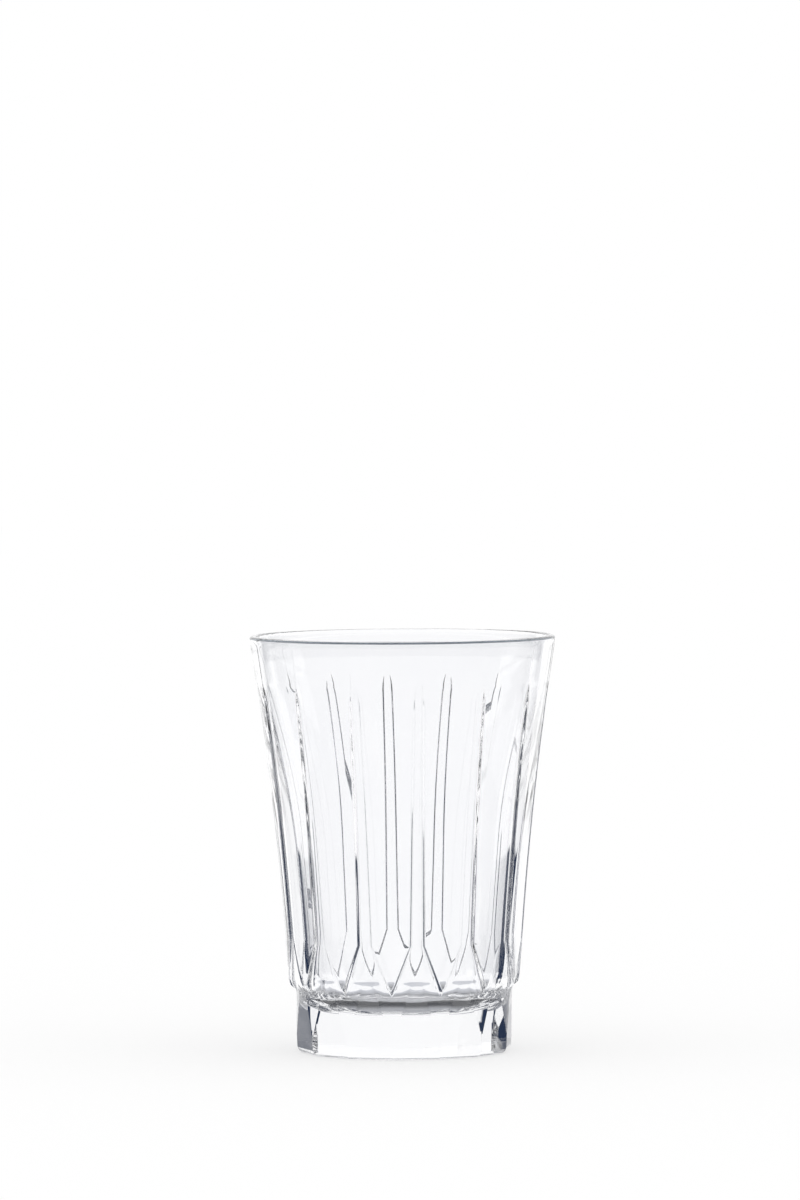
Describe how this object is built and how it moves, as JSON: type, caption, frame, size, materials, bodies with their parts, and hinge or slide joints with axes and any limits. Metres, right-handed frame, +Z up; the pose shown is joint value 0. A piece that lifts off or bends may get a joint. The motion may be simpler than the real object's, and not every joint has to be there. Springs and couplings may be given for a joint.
{
  "type": "water glass",
  "caption": "Clear pressed-glass tumbler with a flared bowl of fourteen pointed panels, narrow grooves between them and a thick faceted foot, for drinking water.",
  "frame": {"origin": "centre of the foot on the table plane", "axes": "+Z up along the glass's axis, -Y through the middle of one panel"},
  "size_m": [0.072, 0.072, 0.098],
  "materials": {
    "clear_glass": "clear pressed glass, smooth, fire-polished rim"
  },
  "bodies": {
    "root": {"tumbler": "clear_glass"}
  },
  "joints": []
}
